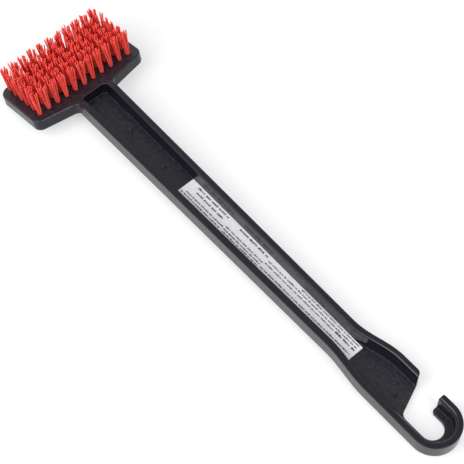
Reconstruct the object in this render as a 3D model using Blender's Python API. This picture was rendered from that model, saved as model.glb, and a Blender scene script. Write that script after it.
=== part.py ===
"""Grill brush: one moulded head, handle and hook, tufts set in the head, and a label.

Lengths are in metres. The shape is laid out in the handle's own frame: the crease between
handle and head is the Y axis, +X runs along the handle to the hook, and the tops of the
handle's rims lie in the plane z = 0. The head slopes down from the crease. At the end the
whole brush is tilted until it rests on its back, on the head's far edge and the hook's end,
with the bristles up and the origin at the bottom centre of its bounding box.
"""

import math
import random

import bmesh
import bpy
from mathutils import Matrix, Vector

# Grid of tufts
TUFT_COLUMNS = 11
TUFT_ROWS = 6
ROWS_PER_SLICE = 3
COLUMN_PITCH = 0.0083
ROW_PITCH = 0.00774

# Head, measured in its own sloping plane
HEAD_TILT = math.radians(13.9)
HEAD_END_MARGIN = 0.0084
HEAD_FAR_MARGIN = 0.0046
HEAD_REAR_MARGIN = 0.0132
HEAD_REAR_SETBACK = 0.0084
HEAD_REAR_SWEEP = 0.0069
HEAD_THICKNESS = 0.0105
HEAD_REAR_CORNER = 0.0065
HEAD_FAR_CORNER = 0.0080
HEAD_TOP_RADIUS = 0.0012
HEAD_BACK_RADIUS = 0.0025
NECK_FILLET = 0.0055
NECK_INSET = 0.0001

# Handle, a channel that is open on the bristle side
HANDLE_LENGTH = 0.3631
HANDLE_WIDTH_AT_HEAD = 0.0315
HANDLE_WIDTH_AT_GRIP = 0.0267
HANDLE_HEIGHT = 0.0160
HANDLE_TOP_RADIUS = 0.0005
HANDLE_BACK_RADIUS = 0.0035
HANDLE_ROOT = 0.0190
HANDLE_OFFSET = -0.0008
DRAFT = math.radians(1.4)
FLOOR_THICKNESS = 0.0032
FLOOR_FILLET = 0.0004
RIM_WIDTH = 0.0051
RIM_INNER_RADIUS = 0.0008
CHANNEL_OFFSET = 0.0004
RECESS_REACH = 0.0073
RECESS_CORNER = 0.0030

# Grip and hook
GRIP_LENGTH = 0.1071
GRIP_WIDTH = 0.0373
GRIP_OFFSET = 0.0009
GRIP_RIM_INNER_RADIUS = 0.0022
FLARE_LENGTH = 0.0410
HOOK_END_WALL = 0.0115
HOOK_GAP_RADIUS = 0.0084
HOOK_GAP_OFFSET = 0.0011
HOOK_TIP_SETBACK = 0.0290
HOOK_TIP_RADIUS = 0.0030
HOOK_TIP_OUTER_RADIUS = 0.0012
MOUTH_WIDTH = 0.0215
MOUTH_SLANT = math.radians(22.3)
MOUTH_CORNER_RADIUS = 0.0044
GAP_CORNER_RADIUS = 0.0055

# Tufts
STRANDS_AROUND = 6
BRISTLE_LENGTH = 0.0227
BRISTLE_RAGGED_LENGTH = 0.0018
STRAND_FOOT_RADIUS = 0.00065
STRAND_TIP_RADIUS = 0.00060
STRAND_SIDES = 3
TUFT_FOOT_RING = 0.00155
TUFT_TIP_RING = 0.00305
ROOT_DIAMETER = 0.0046
ROOT_DEPTH = 0.0070
ROOT_SIDES = 8
SLICE_WIDTH = 0.0056
SLICE_END = 0.0028
SLICE_THICKNESS = 0.0015
STRAND_SEED = 7

# Label
LABEL_START = 0.0927
LABEL_LENGTH = 0.1782
LABEL_THICKNESS = 0.0003
LABEL_SIDE_GAP = 0.0003

# Clearance between pieces that touch, and the overrun of every cut
SEAT_GAP = 0.0003
OVERRUN = 0.0030

# Steps of the curves
ARC_STEP = math.radians(12.0)
FLARE_STEPS = 8
END_STEPS = 20
EDGE_STEPS = 3
SAME_POINT = 0.000001
SMOOTH_ANGLE = math.radians(35.0)

# Names of the two slices of a column, from the handle's side
SLICE_PLACES = ("near", "far")

# Sizes that follow from the ones above
HEAD_HALF_LENGTH = (TUFT_COLUMNS - 1) * COLUMN_PITCH / 2 + HEAD_END_MARGIN
FIRST_ROW = HEAD_REAR_SETBACK + HEAD_REAR_MARGIN
HEAD_FAR_EDGE = FIRST_ROW + (TUFT_ROWS - 1) * ROW_PITCH + HEAD_FAR_MARGIN
NECK_HALF_WIDTH = HANDLE_WIDTH_AT_HEAD / 2 - NECK_INSET
FLARE_START = HANDLE_LENGTH - GRIP_LENGTH
GRIP_HALF_WIDTH = GRIP_WIDTH / 2
HOOK_SIDE = GRIP_OFFSET + GRIP_HALF_WIDTH
GAP_LOW_SIDE = HOOK_GAP_OFFSET - HOOK_GAP_RADIUS
GAP_HIGH_SIDE = HOOK_GAP_OFFSET + HOOK_GAP_RADIUS
GRIP_CENTRE = HANDLE_LENGTH - GRIP_HALF_WIDTH
CHANNEL_DEPTH = HANDLE_HEIGHT - FLOOR_THICKNESS
GAP_CENTRE = HANDLE_LENGTH - HOOK_END_WALL - HOOK_GAP_RADIUS
TIP_X = HANDLE_LENGTH - HOOK_TIP_SETBACK
MOUTH_X = TIP_X - MOUTH_WIDTH
LEAN = math.tan(DRAFT)

HEAD_FRAME = Matrix.Rotation(-HEAD_TILT, 4, "Y")
HANDLE_FRAME = Matrix.Identity(4)

BLACK_PLASTIC = ("black_polypropylene", (0.018, 0.018, 0.021, 1.0), 0.42)
RED_NYLON = ("red_nylon", (0.80, 0.045, 0.025, 1.0), 0.38)
LABEL_FILM = ("label_film", (0.78, 0.78, 0.82, 1.0), 0.35)


def clear_scene():
    """Removes every object that the scene holds at the start."""
    for item in list(bpy.data.objects):
        bpy.data.objects.remove(item)


def make_material(finish):
    """One plain plastic finish from its name, colour and roughness."""
    name, colour, roughness = finish
    material = bpy.data.materials.new(name)
    material.use_nodes = True
    shader = material.node_tree.nodes["Principled BSDF"]
    shader.inputs["Base Color"].default_value = colour
    shader.inputs["Roughness"].default_value = roughness
    shader.inputs["Metallic"].default_value = 0.0
    material.diffuse_color = colour
    return material


def ease(share):
    """Smooth step from 0 to 1 with level ends."""
    return (1 - math.cos(math.pi * min(max(share, 0), 1))) / 2


def tapered_half_width(x):
    """Half the width of the handle's straight taper, before its flare."""
    taper = min(max(x / FLARE_START, 0), 1)
    return (HANDLE_WIDTH_AT_HEAD + (HANDLE_WIDTH_AT_GRIP - HANDLE_WIDTH_AT_HEAD) * taper) / 2


def handle_half_width(x):
    """Half the handle's width: a straight taper, then the flare out to the grip."""
    narrow = tapered_half_width(x)
    return narrow + (GRIP_HALF_WIDTH - narrow) * ease((x - FLARE_START) / FLARE_LENGTH)


def handle_middle(x):
    """Place of the handle's middle line, which swings to the hook's side along the flare."""
    swing = ease((x - FLARE_START) / FLARE_LENGTH)
    return HANDLE_OFFSET + (GRIP_OFFSET - HANDLE_OFFSET) * swing


def channel_half_width(x):
    """Half the width between the rims."""
    return handle_half_width(x) - RIM_WIDTH


def channel_middle(x):
    """Place of the channel's middle line."""
    return handle_middle(x) + CHANNEL_OFFSET


def rim_inner_radius(x):
    """Rounding of the rims' inner edges, fuller along the grip."""
    swell = ease((x - FLARE_START) / FLARE_LENGTH)
    return RIM_INNER_RADIUS + (GRIP_RIM_INNER_RADIUS - RIM_INNER_RADIUS) * swell


def arc(centre, radius, start, end, steps):
    """Points along an arc between two angles, both ends included."""
    points = []
    for step in range(steps + 1):
        angle = start + (end - start) * step / steps
        points.append(Vector((centre[0] + radius * math.cos(angle), centre[1] + radius * math.sin(angle))))
    return points


def rounded_outline(corners):
    """Closed outline from (x, y, radius) corners, each rounded by an arc tangent to its sides."""
    outline = []
    count = len(corners)
    for index, (x, y, radius) in enumerate(corners):
        corner = Vector((x, y))
        if radius == 0:
            outline.append(corner)
            continue
        before = (Vector(corners[index - 1][:2]) - corner).normalized()
        after = (Vector(corners[(index + 1) % count][:2]) - corner).normalized()
        half_angle = before.angle(after) / 2
        centre = corner + (before + after).normalized() * radius / math.sin(half_angle)
        first = corner + before * radius / math.tan(half_angle) - centre
        turn = math.pi - 2 * half_angle
        if before.x * after.y - before.y * after.x > 0:
            turn = -turn
        steps = max(2, math.ceil(abs(turn) / ARC_STEP))
        start = math.atan2(first.y, first.x)
        outline.extend(arc(centre, radius, start, start + turn, steps))
    return [point for index, point in enumerate(outline) if (point - outline[index - 1]).length > SAME_POINT]


def inward_steps(outline):
    """How far each point of a counter-clockwise outline moves when its sides move in by 1."""
    steps = []
    for index, point in enumerate(outline):
        before = (point - outline[index - 1]).normalized()
        after = (outline[(index + 1) % len(outline)] - point).normalized()
        normal = Vector((-before.y - after.y, before.x + after.x)).normalized()
        steps.append(normal / normal.dot(Vector((-before.y, before.x))))
    return steps


def rounded_levels(low, high, low_radius, high_radius):
    """Heights and insets of a slab whose lower and upper edges are rounded."""
    levels = []
    for step in range(EDGE_STEPS + 1):
        angle = math.pi / 2 * step / EDGE_STEPS
        levels.append((low + low_radius * (1 - math.cos(angle)), low_radius * (1 - math.sin(angle))))
    for step in range(EDGE_STEPS + 1):
        angle = math.pi / 2 * step / EDGE_STEPS
        levels.append((high - high_radius * (1 - math.sin(angle)), high_radius * (1 - math.cos(angle))))
    return levels


def drafted(levels):
    """Levels drawn in further the deeper they lie, as a moulding's draft does."""
    return [(height, distance + max(0, -height) * LEAN) for height, distance in levels]


def handle_levels(x):
    """Heights and insets of the handle's body: rounded at its back and softened at its rims."""
    return drafted(rounded_levels(-HANDLE_HEIGHT, 0, HANDLE_BACK_RADIUS, HANDLE_TOP_RADIUS))


def channel_levels(x):
    """Heights and insets of the channel: a fillet along its floor and rounded upper edges."""
    levels = []
    for step in range(EDGE_STEPS + 1):
        angle = math.pi / 2 * step / EDGE_STEPS
        height = -CHANNEL_DEPTH + FLOOR_FILLET * (1 - math.cos(angle))
        levels.append((height, FLOOR_FILLET * (1 - math.sin(angle))))
    radius = rim_inner_radius(x)
    for step in range(EDGE_STEPS + 1):
        angle = math.pi / 2 * step / EDGE_STEPS
        levels.append((-radius * (1 - math.sin(angle)), -radius * (1 - math.cos(angle))))
    levels.append((OVERRUN, -radius))
    return drafted(levels)


def add_swept_loft(mesh, outline, levels_at, frame):
    """Adds a closed solid whose heights and insets change with the place along X."""
    steps = inward_steps(outline)
    profiles = [levels_at(point.x) for point in outline]
    rings = []
    for number in range(len(profiles[0])):
        ring = []
        for point, step, profile in zip(outline, steps, profiles):
            height, distance = profile[number]
            moved = point + step * distance
            ring.append(mesh.verts.new(frame @ Vector((moved.x, moved.y, height))))
        rings.append(ring)
    count = len(outline)
    for lower, upper in zip(rings, rings[1:]):
        for index in range(count):
            following = (index + 1) % count
            mesh.faces.new((lower[index], lower[following], upper[following], upper[index]))
    mesh.faces.new(list(reversed(rings[0])))
    mesh.faces.new(rings[-1])


def add_loft(mesh, outline, levels, frame):
    """Adds a closed solid through insets of one outline, from the lowest level up."""
    add_swept_loft(mesh, outline, lambda x: levels, frame)


def add_object(name, mesh):
    """Turns a bmesh into a scene object."""
    data = bpy.data.meshes.new(name)
    mesh.to_mesh(data)
    mesh.free()
    item = bpy.data.objects.new(name, data)
    bpy.context.scene.collection.objects.link(item)
    return item


def loft_object(name, outline, levels, frame):
    """One lofted solid as an object."""
    mesh = bmesh.new()
    add_loft(mesh, outline, levels, frame)
    return add_object(name, mesh)


def swept_object(name, outline, levels_at, frame):
    """One solid whose levels change along X, as an object."""
    mesh = bmesh.new()
    add_swept_loft(mesh, outline, levels_at, frame)
    return add_object(name, mesh)


def combine(base, other, operation):
    """Applies one exact Boolean to the base and removes the other object."""
    modifier = base.modifiers.new("combine", "BOOLEAN")
    modifier.operation = operation
    modifier.solver = "EXACT"
    modifier.object = other
    graph = bpy.context.evaluated_depsgraph_get()
    result = bpy.data.meshes.new_from_object(base.evaluated_get(graph))
    base.modifiers.clear()
    base.data = result
    bpy.data.objects.remove(other)


def finish(item, material, smooth_angle):
    """Gives an object its material and smooth shading that stops at its sharp edges."""
    item.data.materials.clear()
    item.data.materials.append(material)
    item.data.shade_smooth()
    item.data.set_sharp_from_angle(angle=smooth_angle)


def head_outline():
    """Plan of the head and its neck, in the head's plane, with u running to the handle."""
    rear = -HEAD_REAR_SETBACK
    swept = rear - HEAD_REAR_SWEEP
    neck_high = HANDLE_OFFSET + NECK_HALF_WIDTH
    neck_low = HANDLE_OFFSET - NECK_HALF_WIDTH
    return rounded_outline([
        (0, neck_high, 0),
        (rear, neck_high, NECK_FILLET),
        (swept, HEAD_HALF_LENGTH, HEAD_REAR_CORNER),
        (-HEAD_FAR_EDGE, HEAD_HALF_LENGTH, HEAD_FAR_CORNER),
        (-HEAD_FAR_EDGE, -HEAD_HALF_LENGTH, HEAD_FAR_CORNER),
        (swept, -HEAD_HALF_LENGTH, HEAD_REAR_CORNER),
        (rear, neck_low, NECK_FILLET),
        (0, neck_low, 0),
    ])


def mirrored_plan(upper, middle):
    """Counter-clockwise plan from its +Y side, listed from the far end, mirrored about a middle line."""
    lower = [Vector((point.x, -point.y)) for point in reversed(upper) if abs(point.y) > 0]
    return [point + Vector((0, middle(point.x))) for point in lower + list(upper)]


def flare_stations():
    """Places along the handle at which the flare is drawn."""
    return [FLARE_START + FLARE_LENGTH * step / FLARE_STEPS for step in range(FLARE_STEPS + 1)]


def handle_outline():
    """Plan of the handle with its grip and the full round end of the hook."""
    side = [Vector((x, handle_half_width(x))) for x in [-HANDLE_ROOT, 0] + flare_stations()]
    end = arc((GRIP_CENTRE, 0), GRIP_HALF_WIDTH, 0, math.pi / 2, END_STEPS)
    return mirrored_plan(end + list(reversed(side)), handle_middle)


def channel_outline():
    """Plan of the channel between the rims, from the recess in the head to the hook."""
    reach = -RECESS_REACH
    corner_y = channel_half_width(0)
    corner = arc(
        (reach + RECESS_CORNER, corner_y - RECESS_CORNER),
        RECESS_CORNER,
        math.pi,
        math.pi / 2,
        EDGE_STEPS,
    )
    side = corner + [Vector((x, channel_half_width(x))) for x in [0] + flare_stations()]
    end = arc((GRIP_CENTRE, 0), GRIP_HALF_WIDTH - RIM_WIDTH, 0, math.pi / 2, END_STEPS)
    return mirrored_plan(end + list(reversed(side)), channel_middle)


def gap_outline():
    """Plan of the hook's gap: its slanted mouth, its floor, the round end and the hook's tip."""
    outside = HOOK_SIDE + OVERRUN
    gap_end = GAP_CENTRE + HOOK_GAP_RADIUS
    slant_foot = MOUTH_X + (HOOK_SIDE - GAP_LOW_SIDE) * math.tan(MOUTH_SLANT)
    left = MOUTH_X - MOUTH_CORNER_RADIUS * math.tan((math.pi / 2 - MOUTH_SLANT) / 2)
    right = TIP_X + HOOK_TIP_OUTER_RADIUS
    return rounded_outline([
        (right, outside, 0),
        (left, outside, 0),
        (left, HOOK_SIDE, 0),
        (MOUTH_X, HOOK_SIDE, MOUTH_CORNER_RADIUS),
        (slant_foot, GAP_LOW_SIDE, GAP_CORNER_RADIUS),
        (gap_end, GAP_LOW_SIDE, HOOK_GAP_RADIUS),
        (gap_end, GAP_HIGH_SIDE, HOOK_GAP_RADIUS),
        (TIP_X, GAP_HIGH_SIDE, HOOK_TIP_RADIUS),
        (TIP_X, HOOK_SIDE, HOOK_TIP_OUTER_RADIUS),
        (right, HOOK_SIDE, 0),
    ])


def rectangle(left, right, bottom, top):
    """Plan of a rectangle, counter-clockwise."""
    return [Vector((left, bottom)), Vector((right, bottom)), Vector((right, top)), Vector((left, top))]


def column_y(column):
    """Place of a column of tufts along the head."""
    return (column - (TUFT_COLUMNS - 1) / 2) * COLUMN_PITCH


def row_u(row):
    """Place of a row of tufts, counted from the handle's side."""
    return -(FIRST_ROW + row * ROW_PITCH)


def slice_rows():
    """The rows of each slice, from the handle's side to the far side."""
    return [range(first, first + ROWS_PER_SLICE) for first in range(0, TUFT_ROWS, ROWS_PER_SLICE)]


def slice_plan(column, rows, clearance):
    """Plan of one slice of backing, grown by a clearance on every side."""
    half_width = SLICE_WIDTH / 2 + clearance
    reach = SLICE_END + clearance
    centre = column_y(column)
    return rectangle(row_u(rows[-1]) - reach, row_u(rows[0]) + reach, centre - half_width, centre + half_width)


def root_plan(column, row, clearance):
    """Plan of one tuft's root or, with a clearance, of its hole."""
    radius = ROOT_DIAMETER / 2 + clearance
    centre = Vector((row_u(row), column_y(column)))
    points = []
    for side in range(ROOT_SIDES):
        angle = 2 * math.pi * (side + 0.5) / ROOT_SIDES
        points.append(centre + radius * Vector((math.cos(angle), math.sin(angle))))
    return points


def cut_tuft_seats(moulding):
    """Cuts the shallow seats of the slices, then a blind hole for each tuft's root."""
    seats = bmesh.new()
    holes = bmesh.new()
    for column in range(TUFT_COLUMNS):
        for rows in slice_rows():
            levels = [(-SLICE_THICKNESS - SEAT_GAP, 0), (OVERRUN, 0)]
            add_loft(seats, slice_plan(column, rows, SEAT_GAP), levels, HEAD_FRAME)
            for row in rows:
                levels = [(-ROOT_DEPTH - SEAT_GAP, 0), (OVERRUN, 0)]
                add_loft(holes, root_plan(column, row, SEAT_GAP), levels, HEAD_FRAME)
    combine(moulding, add_object("seat_cutter", seats), "DIFFERENCE")
    combine(moulding, add_object("hole_cutter", holes), "DIFFERENCE")


def make_moulding():
    """The black moulding: head, channelled handle, grip and hook in one piece."""
    slab = rounded_levels(-HEAD_THICKNESS, 0, HEAD_BACK_RADIUS, HEAD_TOP_RADIUS)
    head = loft_object("head_slab", head_outline(), slab, HEAD_FRAME)
    moulding = swept_object("handle_and_head", handle_outline(), handle_levels, HANDLE_FRAME)
    side = HANDLE_WIDTH_AT_HEAD / 2 + OVERRUN
    over_head = rectangle(-HANDLE_ROOT - OVERRUN, 0, -side, side)
    wedge = loft_object("wedge_cutter", over_head, [(0, 0), (HANDLE_ROOT, 0)], HEAD_FRAME)
    combine(moulding, wedge, "DIFFERENCE")
    combine(moulding, head, "UNION")
    channel = swept_object("channel_cutter", channel_outline(), channel_levels, HANDLE_FRAME)
    combine(moulding, channel, "DIFFERENCE")
    through = [(-HANDLE_HEIGHT - OVERRUN, 0), (OVERRUN, 0)]
    gap = loft_object("gap_cutter", gap_outline(), through, HANDLE_FRAME)
    combine(moulding, gap, "DIFFERENCE")
    cut_tuft_seats(moulding)
    return moulding


def add_strand(mesh, foot, tip, turn):
    """One bristle strand, a three-sided spike from its foot to its tip."""
    rings = []
    for centre, radius in ((foot, STRAND_FOOT_RADIUS), (tip, STRAND_TIP_RADIUS)):
        ring = []
        for side in range(STRAND_SIDES):
            angle = turn + 2 * math.pi * side / STRAND_SIDES
            offset = Vector((radius * math.cos(angle), radius * math.sin(angle), 0))
            ring.append(mesh.verts.new(HEAD_FRAME @ (centre + offset)))
        rings.append(ring)
    lower, upper = rings
    for side in range(STRAND_SIDES):
        following = (side + 1) % STRAND_SIDES
        mesh.faces.new((lower[side], lower[following], upper[following], upper[side]))
    mesh.faces.new(list(reversed(lower)))
    mesh.faces.new(upper)


def add_tuft(mesh, column, row, chance):
    """The strands of one tuft: one upright in the middle and a ring that splays out."""
    centre = Vector((row_u(row), column_y(column), 0))
    twist = chance.uniform(0, 2 * math.pi / STRANDS_AROUND)
    foot_depth = SLICE_THICKNESS / 2
    splay = (TUFT_TIP_RING - TUFT_FOOT_RING) / BRISTLE_LENGTH
    for strand in range(STRANDS_AROUND + 1):
        length = BRISTLE_LENGTH - chance.uniform(0, BRISTLE_RAGGED_LENGTH)
        angle = twist + 2 * math.pi * strand / STRANDS_AROUND
        outward = Vector((math.cos(angle), math.sin(angle), 0))
        if strand == STRANDS_AROUND:
            outward = Vector((0, 0, 0))
        foot = centre + outward * (TUFT_FOOT_RING - splay * foot_depth) + Vector((0, 0, -foot_depth))
        tip = centre + outward * (TUFT_FOOT_RING + splay * length) + Vector((0, 0, length))
        add_strand(mesh, foot, tip, angle)


def make_tufts(name, column, rows, chance):
    """Three tufts of one column, fused to the slice of backing that holds them."""
    tufts = loft_object(name, slice_plan(column, rows, 0), [(-SLICE_THICKNESS, 0), (0, 0)], HEAD_FRAME)
    mesh = bmesh.new()
    for row in rows:
        root_top = -(SLICE_THICKNESS + SLICE_THICKNESS / 2) / 2
        add_loft(mesh, root_plan(column, row, 0), [(-ROOT_DEPTH, 0), (root_top, 0)], HEAD_FRAME)
        add_tuft(mesh, column, row, chance)
    combine(tufts, add_object("strands", mesh), "UNION")
    return tufts


def make_label():
    """The thin pale label on the channel's floor, tapered with the channel."""
    end = LABEL_START + LABEL_LENGTH
    channel_edge = RIM_WIDTH + CHANNEL_DEPTH * LEAN + FLOOR_FILLET
    middle = HANDLE_OFFSET + CHANNEL_OFFSET
    plan = []
    for x, side in ((LABEL_START, -1), (end, -1), (end, 1), (LABEL_START, 1)):
        half_width = tapered_half_width(x) - channel_edge - LABEL_SIDE_GAP
        plan.append(Vector((x, middle + side * half_width)))
    low = -CHANNEL_DEPTH + SEAT_GAP
    return loft_object("channel_label", plan, [(low, 0), (low + LABEL_THICKNESS, 0)], HANDLE_FRAME)


def rest_tilt():
    """Tilt about Y that brings the head's far edge and the hook's end down to one level."""
    far_edge = HEAD_FRAME @ Vector((-HEAD_FAR_EDGE + HEAD_BACK_RADIUS, 0, -HEAD_THICKNESS + HEAD_BACK_RADIUS))
    reach = HANDLE_LENGTH - HANDLE_HEIGHT * LEAN - HANDLE_BACK_RADIUS
    hook_end = Vector((reach, 0, -HANDLE_HEIGHT + HANDLE_BACK_RADIUS))
    line = hook_end - far_edge
    slope = math.atan2(line.z, line.x)
    return slope - math.asin((HANDLE_BACK_RADIUS - HEAD_BACK_RADIUS) / line.length)


def settle(pieces):
    """Parents the pieces to an empty that rests the brush with its origin under its middle."""
    frame = bpy.data.objects.new("brush_frame", None)
    bpy.context.scene.collection.objects.link(frame)
    frame.rotation_euler = (0, rest_tilt(), 0)
    for piece in pieces:
        piece.parent = frame
    bpy.context.view_layer.update()
    points = [piece.matrix_world @ vertex.co for piece in pieces for vertex in piece.data.vertices]
    low = [min(point[axis] for point in points) for axis in range(3)]
    high = [max(point[axis] for point in points) for axis in range(3)]
    frame.location = (-(low[0] + high[0]) / 2, -(low[1] + high[1]) / 2, -low[2])
    bpy.context.view_layer.update()


def main():
    """Builds the brush."""
    clear_scene()
    black = make_material(BLACK_PLASTIC)
    red = make_material(RED_NYLON)
    film = make_material(LABEL_FILM)
    chance = random.Random(STRAND_SEED)

    moulding = make_moulding()
    finish(moulding, black, SMOOTH_ANGLE)
    label = make_label()
    finish(label, film, SMOOTH_ANGLE)
    pieces = [moulding, label]
    for column in range(TUFT_COLUMNS):
        for place, rows in zip(SLICE_PLACES, slice_rows()):
            name = f"bristle_tufts_{column + 1:02d}_{place}"
            tufts = make_tufts(name, column, list(rows), chance)
            finish(tufts, red, SMOOTH_ANGLE)
            pieces.append(tufts)
    settle(pieces)


main()
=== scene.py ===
"""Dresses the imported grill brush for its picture.

The brush is one black moulding, sixty-six tufts of red nylon set in its head, and a pale label
on the floor of its channelled handle. Every length is in metres. Shapes are laid out in the
handle's own frame: the crease between handle and head is the Y axis, +X runs along the handle
to the hook, and the tops of the rims lie at height 0. RestingPlace turns that frame to where
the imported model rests.
"""

import logging
import math
import random
from dataclasses import dataclass
from enum import Enum
from typing import Callable, Iterable, NamedTuple, Sequence

import bmesh
import bpy
from mathutils import Matrix, Vector


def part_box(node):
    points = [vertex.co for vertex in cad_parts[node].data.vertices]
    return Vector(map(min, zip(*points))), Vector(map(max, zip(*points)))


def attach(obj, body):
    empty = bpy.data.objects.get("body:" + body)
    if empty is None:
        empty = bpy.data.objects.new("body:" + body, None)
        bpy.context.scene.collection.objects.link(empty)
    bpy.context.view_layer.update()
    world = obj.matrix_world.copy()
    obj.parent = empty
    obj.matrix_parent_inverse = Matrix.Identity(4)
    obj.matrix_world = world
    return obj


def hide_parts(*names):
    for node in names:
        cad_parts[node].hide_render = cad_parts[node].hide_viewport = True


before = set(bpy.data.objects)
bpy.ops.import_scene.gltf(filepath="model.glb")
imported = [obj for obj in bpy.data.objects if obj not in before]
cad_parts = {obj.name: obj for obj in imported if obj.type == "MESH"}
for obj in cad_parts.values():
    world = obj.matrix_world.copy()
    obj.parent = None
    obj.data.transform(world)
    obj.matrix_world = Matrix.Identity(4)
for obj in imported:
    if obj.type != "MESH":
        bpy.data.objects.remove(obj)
log = logging.getLogger("grill_brush")

BODY = "root"
ETCHED_FACES = "etched_faces"
FILAMENT_SHADE = "filament_shade"
WHITE = (1.0, 1.0, 1.0, 1.0)

Colour = tuple[float, float, float, float]
Socket = bpy.types.NodeSocket
Shaded = bpy.types.Material | bpy.types.World

# The frame of everything that doesn't lie in the head's plane
HANDLE_FRAME = Matrix.Identity(4)

# Where most of a noise node's values lie
CLOUD_RANGE = (0.3, 0.7)

# How far cutters reach past a surface, and how finely curves are drawn
OVERRUN = 0.0030
ARC_STEP = math.radians(4.0)
FLARE_STEPS = 28
END_STEPS = 48
EDGE_STEPS = 6
SAME_POINT = 0.000001
SMOOTH_ANGLE = math.radians(30.0)
FACE_WEIGHT = 100


class Cut(Enum):
    """How one solid changes another."""

    JOIN = "UNION"
    REMOVE = "DIFFERENCE"
    KEEP_SHARED = "INTERSECT"


class ColumnHalf(Enum):
    """The two halves of a column of tufts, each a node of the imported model."""

    NEAR = "near"
    FAR = "far"


class RuleWeight(Enum):
    """How heavily a row of the label is printed."""

    HEADING = "heading"
    BODY = "body"


class Corner(NamedTuple):
    """A corner of a plan and the radius that rounds it."""

    x: float
    y: float
    radius: float


class Level(NamedTuple):
    """A height of a lofted solid and how far its outline is drawn in there."""

    height: float
    inset: float


def ease(share: float) -> float:
    """Smooth step with level ends.

    Args:
        share: how far along the step, held between 0 and 1.

    Returns:
        The eased share.
    """
    return (1 - math.cos(math.pi * min(max(share, 0), 1))) / 2


def arc(
    centre: tuple[float, float], radius: float, start: float, end: float, steps: int
) -> list[Vector]:
    """Points along an arc, both ends included.

    Args:
        centre: the arc's centre.
        radius: its radius.
        start: the angle at which it starts.
        end: the angle at which it ends.
        steps: the number of chords.

    Returns:
        The points in order.
    """
    points = []
    for step in range(steps + 1):
        angle = start + (end - start) * step / steps
        x = centre[0] + radius * math.cos(angle)
        points.append(Vector((x, centre[1] + radius * math.sin(angle))))
    return points


@dataclass(frozen=True)
class Plan:
    """Closed counter-clockwise outline of a solid, seen from above."""

    points: tuple[Vector, ...]

    @classmethod
    def rounded(cls, corners: Sequence[Corner]) -> "Plan":
        """Draws a polygon whose corners are arcs tangent to their sides.

        Args:
            corners: the corners in counter-clockwise order.

        Returns:
            The plan.
        """
        outline = []
        for index, (x, y, radius) in enumerate(corners):
            corner = Vector((x, y))
            if radius == 0:
                outline.append(corner)
                continue
            before = (Vector(corners[index - 1][:2]) - corner).normalized()
            after = (Vector(corners[(index + 1) % len(corners)][:2]) - corner).normalized()
            half_angle = before.angle(after) / 2
            centre = corner + (before + after).normalized() * radius / math.sin(half_angle)
            first = corner + before * radius / math.tan(half_angle) - centre
            turn = math.pi - 2 * half_angle
            if before.cross(after) > 0:
                turn = -turn
            steps = max(2, math.ceil(abs(turn) / ARC_STEP))
            start = math.atan2(first.y, first.x)
            outline.extend(arc(tuple(centre), radius, start, start + turn, steps))
        kept = [
            point
            for index, point in enumerate(outline)
            if (point - outline[index - 1]).length > SAME_POINT
        ]
        return cls(tuple(kept))

    @classmethod
    def rectangle(cls, start: float, end: float, low: float, high: float) -> "Plan":
        """Draws a rectangle with sharp corners.

        Args:
            start: where it starts along X.
            end: where it ends along X.
            low: its lower edge along Y.
            high: its upper edge along Y.

        Returns:
            The plan.
        """
        corners = [(start, low), (end, low), (end, high), (start, high)]
        return cls.rounded([Corner(x, y, 0) for x, y in corners])

    @classmethod
    def mirrored(cls, upper: Sequence[Vector], middle: Callable[[float], float]) -> "Plan":
        """Closes a half outline with its mirror image about a middle line.

        Args:
            upper: the +Y side, listed from the far end back to the start.
            middle: how far the middle line lies to +Y at each place along X.

        Returns:
            The whole plan.
        """
        lower = [Vector((point.x, -point.y)) for point in reversed(upper) if abs(point.y) > 0]
        return cls(tuple(point + Vector((0, middle(point.x))) for point in lower + list(upper)))

    @classmethod
    def circle(cls, centre: tuple[float, float], radius: float, sides: int) -> "Plan":
        """A round plan.

        Args:
            centre: the circle's centre.
            radius: its radius.
            sides: the number of chords.

        Returns:
            The plan.
        """
        return cls(tuple(arc(centre, radius, 0, 2 * math.pi, sides)[:-1]))

    def inward_steps(self) -> list[Vector]:
        """How far each point moves when the outline's sides all move in by 1.

        Returns:
            One step for each point.
        """
        steps = []
        count = len(self.points)
        for index, point in enumerate(self.points):
            before = (point - self.points[index - 1]).normalized()
            after = (self.points[(index + 1) % count] - point).normalized()
            normal = Vector((-before.y - after.y, before.x + after.x)).normalized()
            steps.append(normal / normal.dot(Vector((-before.y, before.x))))
        return steps


def quarter_levels(height: float, radius: float, upwards: bool) -> list[Level]:
    """Levels of a quarter round that ends at a height.

    Args:
        height: the face that the rounding runs into.
        radius: the rounding's radius.
        upwards: True where the solid lies above that face.

    Returns:
        The levels from the lowest up.
    """
    levels = []
    for step in range(EDGE_STEPS + 1):
        angle = math.pi / 2 * step / EDGE_STEPS
        by_cosine = radius * (1 - math.cos(angle))
        by_sine = radius * (1 - math.sin(angle))
        if upwards:
            levels.append(Level(height + by_cosine, by_sine))
        else:
            levels.append(Level(height - by_sine, by_cosine))
    return levels


def flared_levels(height: float, radius: float) -> list[Level]:
    """Levels of a cutter that flares out by a quarter round as it comes up through a face.

    Args:
        height: the face that the cutter comes through.
        radius: the radius that it leaves on the face's edge.

    Returns:
        The levels from the lowest up, with the overrun.
    """
    levels = [Level(low, -inset) for low, inset in quarter_levels(height, radius, False)]
    return levels + [Level(height + OVERRUN, -radius)]


def drafted(levels: Iterable[Level], slope: float) -> list[Level]:
    """Draws levels in further the deeper they lie, as a moulding's draft does.

    Args:
        levels: the levels of an upright solid whose top lies at height 0.
        slope: how far the sides lean in for each metre of depth.

    Returns:
        The levels of the solid with its draft.
    """
    return [Level(height, inset + max(0, -height) * slope) for height, inset in levels]


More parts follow.
